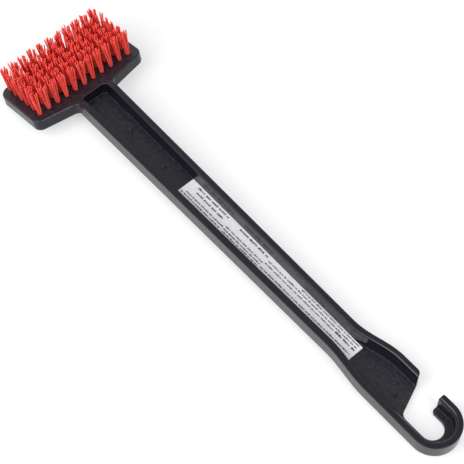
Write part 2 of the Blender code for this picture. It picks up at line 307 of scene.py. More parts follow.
def add_to_scene(name: str, data: bpy.types.ID) -> bpy.types.Object:
    """Adds an object to the scene.

    Args:
        name: the object's name.
        data: its mesh, lamp or lens.

    Returns:
        The object.
    """
    item = bpy.data.objects.new(name, data)
    bpy.context.scene.collection.objects.link(item)
    return item


class Solid:
    """A mesh under construction."""

    def __init__(self, name: str, layers: Sequence[str] = ()) -> None:
        """Starts an empty solid.

        Args:
            name: the name of the object that it becomes.
            layers: names of number layers that its points carry.
        """
        self.name = name
        self.mesh = bmesh.new()
        self.layers = [self.mesh.verts.layers.float.new(layer) for layer in layers]

    def loft(self, plan: Plan, levels: Iterable[Level], place: Matrix) -> "Solid":
        """Adds a closed body through insets of one plan.

        Args:
            plan: the outline.
            levels: its heights and insets from the lowest up.
            place: the frame that the plan lies in.

        Returns:
            This solid.
        """
        kept = list(levels)
        return self.swept_loft(plan, lambda x: kept, place)

    def swept_loft(
        self, plan: Plan, levels_at: Callable[[float], Sequence[Level]], place: Matrix
    ) -> "Solid":
        """Adds a closed body whose levels change with the place along X.

        Args:
            plan: the outline.
            levels_at: gives the heights and insets at a place along X, always as many.
            place: the frame that the plan lies in.

        Returns:
            This solid.
        """
        steps = plan.inward_steps()
        profiles = [levels_at(point.x) for point in plan.points]
        rings = []
        for number in range(len(profiles[0])):
            ring = []
            for point, step, profile in zip(plan.points, steps, profiles):
                moved = point + step * profile[number].inset
                ring.append(self.mesh.verts.new(place @ Vector((*moved, profile[number].height))))
            rings.append(ring)
        self.skin(rings)
        return self

    def skin(self, rings: Sequence[Sequence[bmesh.types.BMVert]]) -> None:
        """Joins rings of points with bands of smooth faces, and closes both ends.

        Args:
            rings: rings of as many points each, from the lowest up.
        """
        count = len(rings[0])
        for lower, upper in zip(rings, rings[1:]):
            for index in range(count):
                after = (index + 1) % count
                corners = (lower[index], lower[after], upper[after], upper[index])
                self.mesh.faces.new(corners).smooth = True
        self.mesh.faces.new(list(reversed(rings[0])))
        self.mesh.faces.new(rings[-1])

    def to_object(self) -> bpy.types.Object:
        """Turns the solid into an object of the scene.

        Returns:
            The object.
        """
        data = bpy.data.meshes.new(self.name)
        self.mesh.to_mesh(data)
        self.mesh.free()
        return add_to_scene(self.name, data)


def combine(base: bpy.types.Object, other: bpy.types.Object, cut: Cut) -> None:
    """Changes one object by another, which is used up.

    Args:
        base: the object that changes.
        other: the object that joins or cuts it.
        cut: how they combine.
    """
    modifier = base.modifiers.new("combine", "BOOLEAN")
    modifier.operation = cut.value
    modifier.solver = "EXACT"
    modifier.object = other
    graph = bpy.context.evaluated_depsgraph_get()
    result = bpy.data.meshes.new_from_object(base.evaluated_get(graph))
    base.modifiers.clear()
    base.data = result
    bpy.data.objects.remove(other)


def soften_shading(item: bpy.types.Object) -> None:
    """Shades flat faces flat and roundings round, with sharp edges kept.

    Args:
        item: the object to shade.
    """
    item.data.shade_smooth()
    item.data.set_sharp_from_angle(angle=SMOOTH_ANGLE)
    weighted = item.modifiers.new("even_faces", "WEIGHTED_NORMAL")
    weighted.keep_sharp = True
    weighted.mode = "FACE_AREA"
    weighted.weight = FACE_WEIGHT


def dress(item: bpy.types.Object, material: bpy.types.Material) -> None:
    """Gives an object its one material.

    Args:
        item: the object.
        material: its finish.
    """
    item.data.materials.clear()
    item.data.materials.append(material)


class NodeBoard:
    """The shader nodes of one material, or of the surround."""

    def __init__(self, owner: Shaded, output: str = "ShaderNodeOutputMaterial") -> None:
        """Clears the owner's nodes and adds its output.

        Args:
            owner: the material or world that the nodes belong to.
            output: the type of its output node.
        """
        owner.use_nodes = True
        self.owner = owner
        self.tree = owner.node_tree
        self.tree.nodes.clear()
        self.output = self.tree.nodes.new(output)

    def add(self, kind: str, **values: object) -> bpy.types.Node:
        """Adds a node.

        Args:
            kind: the node's type.
            values: what feeds its inputs, whose spaces are written as underscores.

        Returns:
            The node.
        """
        node = self.tree.nodes.new(kind)
        for name, value in values.items():
            self.feed(node.inputs[name.replace("_", " ")], value)
        return node

    def feed(self, target: Socket, source: object) -> None:
        """Feeds an input.

        Args:
            target: the input.
            source: the output that it is linked to, or the plain value that it is set to.
        """
        if isinstance(source, Socket):
            self.tree.links.new(source, target)
        else:
            target.default_value = source

    def finish(self, surface: Socket) -> Shaded:
        """Links the last shader to the output.

        Args:
            surface: that shader's output.

        Returns:
            The material or world.
        """
        self.feed(self.output.inputs["Surface"], surface)
        return self.owner

    def attribute(self, name: str) -> Socket:
        """Reads a number that the mesh carries.

        Args:
            name: the name that it is stored under.

        Returns:
            The number's output.
        """
        node = self.tree.nodes.new("ShaderNodeAttribute")
        node.attribute_name = name
        return node.outputs["Fac"]

    def noise(self, size: float, detail: float) -> Socket:
        """A cloudy value from 0 to 1.

        Args:
            size: the width of its patches in metres.
            detail: how many finer patches lie in each.

        Returns:
            The value's output.
        """
        place = self.add("ShaderNodeTexCoord").outputs["Object"]
        node = self.add("ShaderNodeTexNoise", Vector=place, Scale=1 / size, Detail=detail)
        return node.outputs["Fac"]

    def spread(self, value: Socket, low: float, high: float) -> Socket:
        """Maps a cloudy value onto a range.

        Args:
            value: a value that mostly lies about 0.5.
            low: the range's start.
            high: its end.

        Returns:
            The mapped value's output.
        """
        start, end = CLOUD_RANGE
        node = self.add(
            "ShaderNodeMapRange",
            Value=value,
            From_Min=start,
            From_Max=end,
            To_Min=low,
            To_Max=high,
        )
        return node.outputs["Result"]

    def calculate(self, operation: str, *values: Socket | float) -> Socket:
        """Works out one value from others.

        Args:
            operation: the math node's own name for what it does.
            values: what it works on, in the order of its inputs.

        Returns:
            The result's output.
        """
        node = self.tree.nodes.new("ShaderNodeMath")
        node.operation = operation
        for target, value in zip(node.inputs, values):
            self.feed(target, value)
        return node.outputs["Value"]

    def seen_directly(self) -> Socket:
        """Tells what the camera sees, straight on, by a reflection or through something.

        Returns:
            An output that is 1 for such rays and 0 for the rest.
        """
        path = self.tree.nodes.new("ShaderNodeLightPath").outputs
        straight = self.calculate("MAXIMUM", path["Is Camera Ray"], path["Is Glossy Ray"])
        return self.calculate("MAXIMUM", straight, path["Is Transmission Ray"])

    def blend(self, factor: Socket, first: Colour | Socket, second: Colour | Socket) -> Socket:
        """Mixes two colours.

        Args:
            factor: 0 gives the first and 1 the second.
            first: the first colour, or the output that makes it.
            second: the second colour, or its output.

        Returns:
            The colour's output.
        """
        node = self.tree.nodes.new("ShaderNodeMix")
        node.data_type = "RGBA"
        targets = [socket for socket in node.inputs if socket.type == "RGBA"]
        for target, colour in zip(targets, (first, second)):
            self.feed(target, colour)
        self.feed(node.inputs["Factor"], factor)
        return [socket for socket in node.outputs if socket.type == "RGBA"][0]

    def bump(self, height: Socket, depth: float, strength: Socket | float) -> bpy.types.Node:
        """Turns a height into a surface normal.

        Args:
            height: the height from 0 to 1.
            depth: what 1 stands for in metres.
            strength: how much of it shows.

        Returns:
            The node that makes the normal.
        """
        return self.add("ShaderNodeBump", Height=height, Distance=depth, Strength=strength)


@dataclass(frozen=True)
class BlackPolypropylene:
    """Satin black moulded plastic with a fine eroded grain."""

    slot: str = "black_polypropylene"
    deep: Colour = (0.0018, 0.0016, 0.0080, 1.0)
    pale: Colour = (0.0034, 0.0031, 0.0108, 1.0)
    sooty: Colour = (0.0012, 0.0010, 0.0055, 1.0)
    powdery: Colour = (0.0205, 0.0196, 0.0300, 1.0)
    polished: float = 0.20
    matt: float = 0.30
    etched: float = 0.16
    index: float = 1.47
    flow_width: float = 0.0200
    flow_detail: float = 3.0
    grain_width: float = 0.00090
    grain_detail: float = 2.0
    grain_depth: float = 0.00004
    grain_strength: float = 0.30
    pit_width: float = 0.0024
    pit_detail: float = 3.0
    pit_depth: float = 0.00034

    def material(self) -> bpy.types.Material:
        """Builds the material.

        Returns:
            The material, ready for a mesh.
        """
        board = NodeBoard(bpy.data.materials.new(self.slot))
        flow = board.noise(self.flow_width, self.flow_detail)
        grain = board.noise(self.grain_width, self.grain_detail)
        pitting = board.noise(self.pit_width, self.pit_detail)
        etched = board.attribute(ETCHED_FACES)
        smooth = board.blend(board.spread(flow, 0, 1), self.deep, self.pale)
        dusted = board.blend(board.spread(pitting, 0, 1), self.sooty, self.powdery)
        polish = board.spread(flow, self.polished, self.matt)
        fine = board.bump(grain, self.grain_depth, self.grain_strength)
        pits = board.bump(pitting, self.pit_depth, etched)
        board.feed(pits.inputs["Normal"], fine.outputs["Normal"])
        shader = board.add(
            "ShaderNodeBsdfPrincipled",
            Base_Color=board.blend(etched, smooth, dusted),
            Roughness=board.calculate("MULTIPLY_ADD", etched, self.etched, polish),
            IOR=self.index,
            Normal=pits.outputs["Normal"],
        )
        return board.finish(shader.outputs["BSDF"])


@dataclass(frozen=True)
class RedNylon:
    """Red nylon filament, each one a little deeper or brighter than the next."""

    slot: str = "red_nylon"
    deep: Colour = (0.80, 0.034, 0.026, 1.0)
    bright: Colour = (0.98, 0.120, 0.085, 1.0)
    roughness: float = 0.60
    index: float = 1.53
    streak_width: float = 0.0006
    streak_detail: float = 2.0
    streak_depth: float = 0.00003
    streak_strength: float = 0.4
    glow: float = 0.28
    glow_spread: tuple[float, float, float] = (1.0, 0.12, 0.08)
    glow_reach: float = 0.0016

    def material(self) -> bpy.types.Material:
        """Builds the material.

        Returns:
            The material, ready for a mesh.
        """
        board = NodeBoard(bpy.data.materials.new(self.slot))
        streaks = board.noise(self.streak_width, self.streak_detail)
        rippled = board.bump(streaks, self.streak_depth, self.streak_strength)
        shader = board.add(
            "ShaderNodeBsdfPrincipled",
            Base_Color=board.blend(board.attribute(FILAMENT_SHADE), self.deep, self.bright),
            Roughness=self.roughness,
            IOR=self.index,
            Subsurface_Weight=self.glow,
            Subsurface_Radius=self.glow_spread,
            Subsurface_Scale=self.glow_reach,
            Normal=rippled.outputs["Normal"],
        )
        return board.finish(shader.outputs["BSDF"])


@dataclass(frozen=True)
class LabelFilm:
    """Pale film with a faint lavender cast and an uneven coat."""

    slot: str = "label_film"
    clean: Colour = (0.93, 0.93, 0.95, 1.0)
    dull: Colour = (0.85, 0.85, 0.88, 1.0)
    glossy: float = 0.16
    matt: float = 0.26
    index: float = 1.46
    coat_width: float = 0.0040
    coat_detail: float = 4.0
    fibre_width: float = 0.0003
    fibre_detail: float = 2.0
    fibre_depth: float = 0.00001
    fibre_strength: float = 0.3

    def material(self) -> bpy.types.Material:
        """Builds the material.

        Returns:
            The material, ready for a mesh.
        """
        board = NodeBoard(bpy.data.materials.new(self.slot))
        coat = board.noise(self.coat_width, self.coat_detail)
        fibres = board.noise(self.fibre_width, self.fibre_detail)
        rippled = board.bump(fibres, self.fibre_depth, self.fibre_strength)
        shader = board.add(
            "ShaderNodeBsdfPrincipled",
            Base_Color=board.blend(board.spread(coat, 0, 1), self.clean, self.dull),
            Roughness=board.spread(coat, self.glossy, self.matt),
            IOR=self.index,
            Normal=rippled.outputs["Normal"],
        )
        return board.finish(shader.outputs["BSDF"])


@dataclass(frozen=True)
class GreyInk:
    """Grey printing ink that covers a little unevenly."""

    name: str = "grey_ink"
    solid: Colour = (0.010, 0.010, 0.014, 1.0)
    thin: Colour = (0.035, 0.035, 0.045, 1.0)
    roughness: float = 0.45
    patch_width: float = 0.0008
    patch_detail: float = 2.0

    def material(self) -> bpy.types.Material:
        """Builds the material.

        Returns:
            The material, ready for a mesh.
        """
        board = NodeBoard(bpy.data.materials.new(self.name))
        cover = board.spread(board.noise(self.patch_width, self.patch_detail), 0, 1)
        colour = board.blend(cover, self.solid, self.thin)
        shader = board.add("ShaderNodeBsdfPrincipled", Base_Color=colour, Roughness=self.roughness)
        return board.finish(shader.outputs["BSDF"])


@dataclass(frozen=True)
class PaleSweep:
    """White studio floor, lifted to the picture's white ground where the camera sees it."""

    name: str = "pale_sweep"
    paint: Colour = (0.54, 0.54, 0.54, 1.0)
    lift: float = 0.49

    def material(self) -> bpy.types.Material:
        """Builds the material.

        Returns:
            The material, ready for a mesh.
        """
        board = NodeBoard(bpy.data.materials.new(self.name))
        diffuse = board.add("ShaderNodeBsdfDiffuse", Color=self.paint)
        strength = board.calculate("MULTIPLY", board.seen_directly(), self.lift)
        glow = board.add("ShaderNodeEmission", Strength=strength)
        both = board.add("ShaderNodeAddShader")
        board.feed(both.inputs[0], diffuse.outputs["BSDF"])
        board.feed(both.inputs[1], glow.outputs["Emission"])
        return board.finish(both.outputs["Shader"])


@dataclass(frozen=True)
class BrushHead:
    """The sloping head with its grid of tuft holes. Its u axis runs to the handle."""

    columns: int = 11
    rows: int = 6
    column_pitch: float = 0.0083
    row_pitch: float = 0.00774
    tilt: float = math.radians(13.9)
    end_margin: float = 0.0084
    far_margin: float = 0.0046
    rear_margin: float = 0.0132
    rear_setback: float = 0.0084
    rear_sweep: float = 0.0069
    thickness: float = 0.0105
    rear_corner: float = 0.0065
    far_corner: float = 0.0080
    top_radius: float = 0.0012
    back_radius: float = 0.0025
    neck_half_width: float = 0.01565
    neck_offset: float = -0.0008
    neck_fillet: float = 0.0055
    hole_diameter: float = 0.0041
    hole_depth: float = 0.0050
    hole_chamfer: float = 0.0002
    hole_sides: int = 28

    @property
    def frame(self) -> Matrix:
        """Turn from the head's plane to the handle's frame."""
        return Matrix.Rotation(-self.tilt, 4, "Y")

    @property
    def half_length(self) -> float:
        """Half the head's length across the handle."""
        return (self.columns - 1) * self.column_pitch / 2 + self.end_margin

    @property
    def first_row(self) -> float:
        """Distance from the crease to the nearest row of tufts."""
        return self.rear_setback + self.rear_margin

    @property
    def far_edge(self) -> float:
        """Distance from the crease to the head's far edge."""
        return self.first_row + (self.rows - 1) * self.row_pitch + self.far_margin

    def tuft_centre(self, column: int, row: int) -> Vector:
        """Where a tuft leaves the head.

        Args:
            column: the column, counted from -Y.
            row: the row, counted from the handle's side.

        Returns:
            The point in the head's plane.
        """
        u = -(self.first_row + row * self.row_pitch)
        return Vector((u, (column - (self.columns - 1) / 2) * self.column_pitch, 0))

    def plan(self) -> Plan:
        """Draws the outline of the head and its neck.

        Returns:
            The outline in the head's plane.
        """
        rear, swept = -self.rear_setback, -self.rear_setback - self.rear_sweep
        neck_high = self.neck_offset + self.neck_half_width
        neck_low = self.neck_offset - self.neck_half_width
        return Plan.rounded([
            Corner(0, neck_high, 0),
            Corner(rear, neck_high, self.neck_fillet),
            Corner(swept, self.half_length, self.rear_corner),
            Corner(-self.far_edge, self.half_length, self.far_corner),
            Corner(-self.far_edge, -self.half_length, self.far_corner),
            Corner(swept, -self.half_length, self.rear_corner),
            Corner(rear, neck_low, self.neck_fillet),
            Corner(0, neck_low, 0),
        ])

    def slab(self) -> bpy.types.Object:
        """Builds the head's plate with rounded edges.

        Returns:
            The plate.
        """
        levels = quarter_levels(-self.thickness, self.back_radius, True)
        levels += quarter_levels(0, self.top_radius, False)
        return Solid("head_slab").loft(self.plan(), levels, self.frame).to_object()

    def hole_cutter(self) -> bpy.types.Object:
        """Builds round blind holes for all the tufts, each with a small chamfer.

        Returns:
            The cutter.
        """
        cutter = Solid("tuft_holes")
        levels = [
            Level(-self.hole_depth, 0),
            Level(-self.hole_chamfer, 0),
            Level(OVERRUN, -self.hole_chamfer - OVERRUN),
        ]
        for column in range(self.columns):
            for row in range(self.rows):
                centre = self.tuft_centre(column, row)
                circle = Plan.circle((centre.x, centre.y), self.hole_diameter / 2, self.hole_sides)
                cutter.loft(circle, levels, self.frame)
        return cutter.to_object()


@dataclass(frozen=True)
class ChannelHandle:
    """The long handle, a channel that is open upwards and flares out to the grip."""

    length: float = 0.3631
    width_at_head: float = 0.0315
    width_at_grip: float = 0.0267
    height: float = 0.0160
    top_radius: float = 0.0005
    back_radius: float = 0.0035
    root: float = 0.0190
    floor_thickness: float = 0.0032
    floor_fillet: float = 0.0004
    rim_width: float = 0.0051
    rim_inner_radius: float = 0.0008
    grip_rim_inner_radius: float = 0.0022
    recess_reach: float = 0.0100
    recess_corner: float = 0.0030
    recess_edge: float = 0.0007
    grip_length: float = 0.1071
    grip_width: float = 0.0373
    side_offset: float = -0.0008
    grip_offset: float = 0.0009
    flare_length: float = 0.0410
    channel_offset: float = 0.0004
    draft: float = math.radians(1.4)

    @property
    def flare_start(self) -> float:
        """Where the straight taper ends."""
        return self.length - self.grip_length

    @property
    def grip_centre(self) -> float:
        """Centre of the round end."""
        return self.length - self.grip_width / 2

    @property
    def channel_depth(self) -> float:
        """Depth of the channel's floor below the rims."""
        return self.height - self.floor_thickness

    @property
    def straight_middle(self) -> float:
        """How far the channel's middle lies to +Y before the grip."""
        return self.side_offset + self.channel_offset

    @property
    def lean(self) -> float:
        """How far the sides lean in for each metre of depth."""
        return math.tan(self.draft)

    def swell(self, x: float) -> float:
        """How far the handle has swelled into the grip, from 0 to 1."""
        return ease((x - self.flare_start) / self.flare_length)

    def middle(self, x: float) -> float:
        """How far the handle's middle lies to +Y, where the grip swings to the hook's side."""
        return self.side_offset + (self.grip_offset - self.side_offset) * self.swell(x)

    def channel_middle(self, x: float) -> float:
        """How far the channel's middle lies to +Y."""
        return self.middle(x) + self.channel_offset

    def tapered_half_width(self, x: float) -> float:
        """Half the width of the straight taper before the flare."""
        taper = min(max(x / self.flare_start, 0), 1)
        return (self.width_at_head + (self.width_at_grip - self.width_at_head) * taper) / 2

    def half_width(self, x: float) -> float:
        """Half the handle's width.

        Args:
            x: the place along the handle.

        Returns:
            The distance from the middle to the outer side.
        """
        narrow = self.tapered_half_width(x)
        return narrow + (self.grip_width / 2 - narrow) * self.swell(x)

    def channel_half_width(self, x: float) -> float:
        """Half the width between the rims at a place along the handle."""
        return self.half_width(x) - self.rim_width

    def channel_levels(self, x: float) -> list[Level]:
        """The channel's cross-section at a place along the handle.

        Args:
            x: the place.

        Returns:
            The heights and insets of its walls. The rims' inner edges are fuller at the grip.
        """
        growth = self.grip_rim_inner_radius - self.rim_inner_radius
        radius = self.rim_inner_radius + growth * self.swell(x)
        levels = quarter_levels(-self.channel_depth, self.floor_fillet, True)
        return drafted(levels + flared_levels(0, radius), self.lean)

    def stations(self) -> list[float]:
        """Places at which the flare is drawn."""
        steps = range(FLARE_STEPS + 1)
        return [self.flare_start + self.flare_length * step / FLARE_STEPS for step in steps]

    def plan(self) -> Plan:
        """Draws the outline with its full round end.

        Returns:
            The outline at the rims.
        """
        side = [Vector((x, self.half_width(x))) for x in [-self.root, 0] + self.stations()]
        end = arc((self.grip_centre, 0), self.grip_width / 2, 0, math.pi / 2, END_STEPS)
        return Plan.mirrored(end + list(reversed(side)), self.middle)

    def channel_plan(self) -> Plan:
        """Draws the channel from the recess in the head to the round end.

        Returns:
            The outline at the rims.
        """
        reach = self.recess_corner - self.recess_reach
        corner_y = self.channel_half_width(0) - self.recess_corner
        corner = arc((reach, corner_y), self.recess_corner, math.pi, math.pi / 2, EDGE_STEPS * 2)
        side = corner + [Vector((x, self.channel_half_width(x))) for x in [0] + self.stations()]
        end_radius = self.grip_width / 2 - self.rim_width
        end = arc((self.grip_centre, 0), end_radius, 0, math.pi / 2, END_STEPS)
        return Plan.mirrored(end + list(reversed(side)), self.channel_middle)

    def body(self) -> bpy.types.Object:
        """Builds the handle before its channel is cut.

        Returns:
            The body.
        """
        levels = quarter_levels(-self.height, self.back_radius, True)
        levels += quarter_levels(0, self.top_radius, False)
        levels = drafted(levels, self.lean)
        return Solid("black_moulding").loft(self.plan(), levels, HANDLE_FRAME).to_object()

    def channel_cutter(self) -> bpy.types.Object:
        """Builds the channel with a fillet along its floor and softened upper edges.

        Returns:
            The cutter.
        """
        cutter = Solid("channel")
        cutter.swept_loft(self.channel_plan(), self.channel_levels, HANDLE_FRAME)
        return cutter.to_object()

    def recess_edge_cutter(self, head: BrushHead) -> bpy.types.Object:
        """Rounds the edge of the recess where it comes out through the sloping head.

        Args:
            head: the head that the recess reaches into.

        Returns:
            The cutter.
        """
        reach = -self.recess_reach / math.cos(head.tilt)
        side, middle = self.channel_half_width(0), self.channel_middle(0)
        plan = Plan.rounded([
            Corner(reach, middle - side, self.recess_corner),
            Corner(0, middle - side, 0),
            Corner(0, middle + side, 0),
            Corner(reach, middle + side, self.recess_corner),
        ])
        levels = flared_levels(0, self.recess_edge)
        return Solid("recess_edge").loft(plan, levels, head.frame).to_object()


@dataclass(frozen=True)
class HangingHook:
    """The gap that makes a hook of the grip's round end."""

    handle: ChannelHandle
    end_wall: float = 0.0115
    gap_radius: float = 0.0084
    gap_offset: float = 0.0011
    tip_setback: float = 0.0290
    tip_radius: float = 0.0030
    tip_outer_radius: float = 0.0012
    mouth_width: float = 0.0215
    mouth_slant: float = math.radians(22.3)
    mouth_corner: float = 0.0044
    gap_corner: float = 0.0055
    rim_edge: float = 0.0006
    floor_edge: float = 0.0004

    def plan(self) -> Plan:
        """Draws the gap: its mouth, straight side, round end and the hook's tip.

        Returns:
            The outline at the rims.
        """
        half = self.handle.grip_width / 2 + self.handle.grip_offset
        outside = half + OVERRUN
        upper = self.gap_offset + self.gap_radius
        lower = self.gap_offset - self.gap_radius
        tip = self.handle.length - self.tip_setback
        mouth = tip - self.mouth_width
        centre = self.handle.length - self.end_wall - self.gap_radius
        end = centre + self.gap_radius
        left = mouth - self.mouth_corner * math.tan((math.pi / 2 - self.mouth_slant) / 2)
        right = tip + self.tip_outer_radius
        foot = mouth + (half - lower) * math.tan(self.mouth_slant)
        return Plan.rounded([
            Corner(right, outside, 0),
            Corner(left, outside, 0),
            Corner(left, half, 0),
            Corner(mouth, half, self.mouth_corner),
            Corner(foot, lower, self.gap_corner),
            Corner(end, lower, self.gap_radius),
            Corner(end, upper, self.gap_radius),
            Corner(tip, upper, self.tip_radius),
            Corner(tip, half, self.tip_outer_radius),
            Corner(right, half, 0),
        ])

    def gap_cutter(self) -> bpy.types.Object:
        """Builds the gap right through the grip, with softened rim edges.

        Returns:
            The cutter.
        """
        low = -self.handle.height
        levels = [Level(low - OVERRUN, -self.rim_edge)]
        for height, inset in quarter_levels(low, self.rim_edge, True):
            levels.append(Level(height, -inset))
        levels += flared_levels(0, self.rim_edge)
        return Solid("hook_gap").loft(self.plan(), levels, HANDLE_FRAME).to_object()

    def floor_edge_cutter(self) -> bpy.types.Object:
        """Builds what softens the channel floor's edge along the gap.

        Returns:
            The cutter.
        """
        depth = -self.handle.channel_depth
        levels = flared_levels(depth, self.floor_edge)[:-1]
        levels.append(Level(depth + self.floor_edge, -self.floor_edge))
        cutter = Solid("floor_edge").loft(self.plan(), levels, HANDLE_FRAME).to_object()
        inside = self.handle.floor_fillet - depth * self.handle.lean
        levels = [Level(depth - OVERRUN, inside), Level(depth + OVERRUN, inside)]
        floor = Solid("floor_area").loft(self.handle.channel_plan(), levels, HANDLE_FRAME)
        combine(cutter, floor.to_object(), Cut.KEEP_SHARED)
        return cutter


@dataclass(frozen=True)
class EjectorMark:
    """Round witness mark that an ejector pin leaves in the moulding's floor."""

    x: float
    y: float
    radius: float
    depth: float = 0.00042
    sides: int = 40

    def add_to(self, cutter: Solid, floor: float) -> None:
        """Adds the mark to a cutter.

        Args:
            cutter: the solid that cuts all marks.
            floor: the height of the face that the pin pushed on.
        """
        circle = Plan.circle((self.x, self.y), self.radius, self.sides)
        levels = [Level(floor - self.depth, self.depth), Level(floor + self.depth, -self.depth)]
        cutter.loft(circle, levels, HANDLE_FRAME)


@dataclass(frozen=True)
class RestingPlace:
    """Where the brush rests: on its back, on the head's far edge and the hook's end."""

    handle: ChannelHandle
    head: BrushHead
    label_start: float
    label_length: float
    label_lift: float
    label_thickness: float

    @property
    def tilt(self) -> float:
        """Turn about Y that brings the two resting edges to one level.

        Returns:
            The angle in radians.
        """
        handle, head = self.handle, self.head
        back = head.back_radius
        far = head.frame @ Vector((-head.far_edge + back, 0, -head.thickness + back))
        reach = handle.length - handle.height * handle.lean - handle.back_radius
        end = Vector((reach, 0, -handle.height + handle.back_radius))
        line = end - far
        return math.atan2(line.z, line.x) - math.asin((handle.back_radius - back) / line.length)

    @property
    def frame(self) -> Matrix:
        """Turn and move from the handle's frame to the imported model's.

        Returns:
            The whole change of place.
        """
        low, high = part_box("channel_label")
        turn = Matrix.Rotation(self.tilt, 4, "Y")
        height = -self.handle.channel_depth + self.label_lift + self.label_thickness / 2
        along = self.label_start + self.label_length / 2
        middle = Vector((along, self.handle.straight_middle, height))
        return Matrix.Translation((low + high) / 2 - turn @ middle) @ turn

    def settle(self, item: bpy.types.Object) -> None:
        """Moves an object's mesh from the handle's frame to its resting place.

        Args:
            item: the object, whose own origin stays where it is.
        """
        item.data.transform(self.frame)


@dataclass(frozen=True)
class Moulding:
    """The one black moulding: head, channelled handle, grip and hook."""

    head: BrushHead
    handle: ChannelHandle
    hook: HangingHook
    finish: BlackPolypropylene
    marks: tuple[EjectorMark, ...] = (
        EjectorMark(-0.0037, 0.0008, 0.0007),
        EjectorMark(0.0310, 0.0008, 0.0022),
        EjectorMark(0.0718, -0.0011, 0.0019),
        EjectorMark(0.3105, -0.0009, 0.0013),
        EjectorMark(0.3430, 0.0121, 0.0006),
    )

    def build(self, place: RestingPlace) -> bpy.types.Object:
        """Builds and dresses the moulding.

        Args:
            place: where the brush rests.

        Returns:
            The finished object.
        """
        moulding = self.handle.body()
        combine(moulding, self.wedge(), Cut.REMOVE)
        combine(moulding, self.head.slab(), Cut.JOIN)
        combine(moulding, self.handle.channel_cutter(), Cut.REMOVE)
        combine(moulding, self.handle.recess_edge_cutter(self.head), Cut.REMOVE)
        combine(moulding, self.hook.gap_cutter(), Cut.REMOVE)
        combine(moulding, self.hook.floor_edge_cutter(), Cut.REMOVE)
        combine(moulding, self.head.hole_cutter(), Cut.REMOVE)
        combine(moulding, self.mark_cutter(), Cut.REMOVE)
        self.etch_floor(moulding)
        place.settle(moulding)
        dress(moulding, self.finish.material())
        soften_shading(moulding)
        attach(moulding, BODY)
        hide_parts("handle_and_head")
        return moulding

    def wedge(self) -> bpy.types.Object:
        """Builds what the sloping head takes off the handle's root.

        Returns:
            The cutter.
        """
        side = self.handle.width_at_head / 2 + OVERRUN
        root = self.handle.root
        plan = Plan.rectangle(-root - OVERRUN, 0, -side, side)
        levels = [Level(0, 0), Level(root, 0)]
        return Solid("wedge").loft(plan, levels, self.head.frame).to_object()

    def etch_floor(self, moulding: bpy.types.Object) -> None:
        """Marks the channel's floor and the head's face, which leave the mould duller.

        Args:
            moulding: the moulding, still in the handle's frame.
        """
        flat = self.handle.floor_fillet
        to_head = self.head.frame.inverted()
        etched = moulding.data.attributes.new(ETCHED_FACES, "FLOAT", "FACE")
        for face in moulding.data.polygons:
            places = [moulding.data.vertices[number].co for number in face.vertices]
            on_floor = all(abs(place.z + self.handle.channel_depth) < flat for place in places)
            on_head = all(abs((to_head @ place).z) < flat for place in places)
            on_head = on_head and (to_head @ face.center).x < 0
            etched.data[face.index].value = 1.0 if on_floor or on_head else 0.0

    def mark_cutter(self) -> bpy.types.Object:
        """Builds all the ejector marks in the channel's floor.

        Returns:
            The cutter.
        """
        cutter = Solid("ejector_marks")
        for mark in self.marks:
            mark.add_to(cutter, -self.handle.channel_depth)
        return cutter.to_object()


